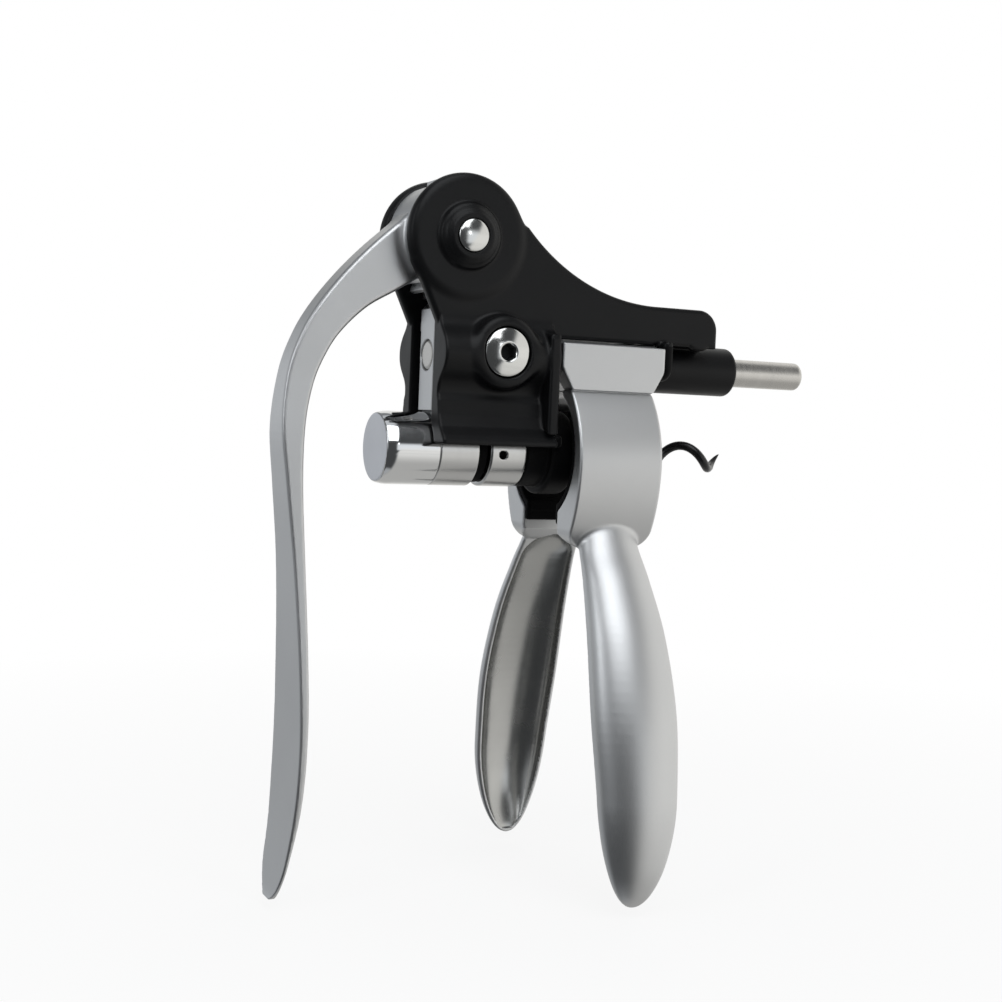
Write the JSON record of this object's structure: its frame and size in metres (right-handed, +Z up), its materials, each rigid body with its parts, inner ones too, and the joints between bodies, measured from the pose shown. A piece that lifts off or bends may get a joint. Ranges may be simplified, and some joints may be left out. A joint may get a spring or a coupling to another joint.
{
  "type": "lever corkscrew",
  "caption": "Lever corkscrew with a black frame, a satin silver lever on a geared hub, squeeze grips that hold the neck of a bottle, and a dark worm.",
  "frame": {"origin": "on the floor under the middle of the object's box, in the middle plane between the two cheeks", "axes": "+X along the worm towards the bottle, +Y across the cheeks to the far grip, +Z up from the floor to the lever pivot"},
  "size_m": [0.1524, 0.0856, 0.1801],
  "materials": {
    "black_plastic": "satin",
    "satin_silver": "satin",
    "polished_metal": "polished",
    "steel": "brushed",
    "black_coating": "satin",
    "bearing_bronze": "satin",
    "black_rubber": "matte"
  },
  "bodies": {
    "frame": {"near_cheek": "black_plastic", "far_cheek": "black_plastic", "pivot_pin": "polished_metal", "hub_washers": "steel", "near_bolt": "polished_metal", "far_bolt": "polished_metal", "rear_rod_guide": "black_plastic", "front_rod_guide": "black_plastic", "near_hinge_pin": "steel", "far_hinge_pin": "steel", "nut_bush": "satin_silver", "nut_drive_pins": "steel", "nut_block": "black_plastic", "nut_lock_pin": "steel"},
    "lever": {"lever": "satin_silver", "pivot_bush": "bearing_bronze"},
    "carriage": {"carriage": "satin_silver", "gear_rack": "steel", "rack_screws": "steel", "guide_rod": "steel", "barrel_cap": "polished_metal", "bumper_ring": "black_rubber", "thrust_washers": "bearing_bronze"},
    "worm": {"worm": "black_coating", "worm_head": "steel"},
    "near_grip": {"near_grip": "satin_silver", "near_pad": "black_rubber"},
    "far_grip": {"far_grip": "satin_silver", "far_pad": "black_rubber"}
  },
  "joints": [
    {"name": "lever_swing", "type": "hinge", "parent": "frame", "child": "lever", "pos_m": [-0.03185, 0, 0.1644], "axis": [0, 1, 0], "range_deg": [0, 190]},
    {"name": "carriage_slide", "type": "slide", "parent": "frame", "child": "carriage", "axis": [-1, 0, 0], "range_m": [0, 0.049]},
    {"name": "worm_spin", "type": "hinge", "parent": "carriage", "child": "worm", "pos_m": [-0.03185, 0, 0.1116], "axis": [-1, 0, 0], "range_deg": [0, 980]},
    {"name": "near_grip_swing", "type": "hinge", "parent": "frame", "child": "near_grip", "pos_m": [0.00855, -0.0093, 0.1356], "axis": [-1, 0, 0], "range_deg": [-9, 18]},
    {"name": "far_grip_swing", "type": "hinge", "parent": "frame", "child": "far_grip", "pos_m": [0.00855, 0.0093, 0.1356], "axis": [1, 0, 0], "range_deg": [-9, 18]}
  ],
  "couplings": [
    {"joint": "carriage_slide", "follows": "lever_swing", "m_per_rad": 0.01464},
    {"joint": "worm_spin", "follows": "lever_swing", "ratio": 5.1103}
  ]
}
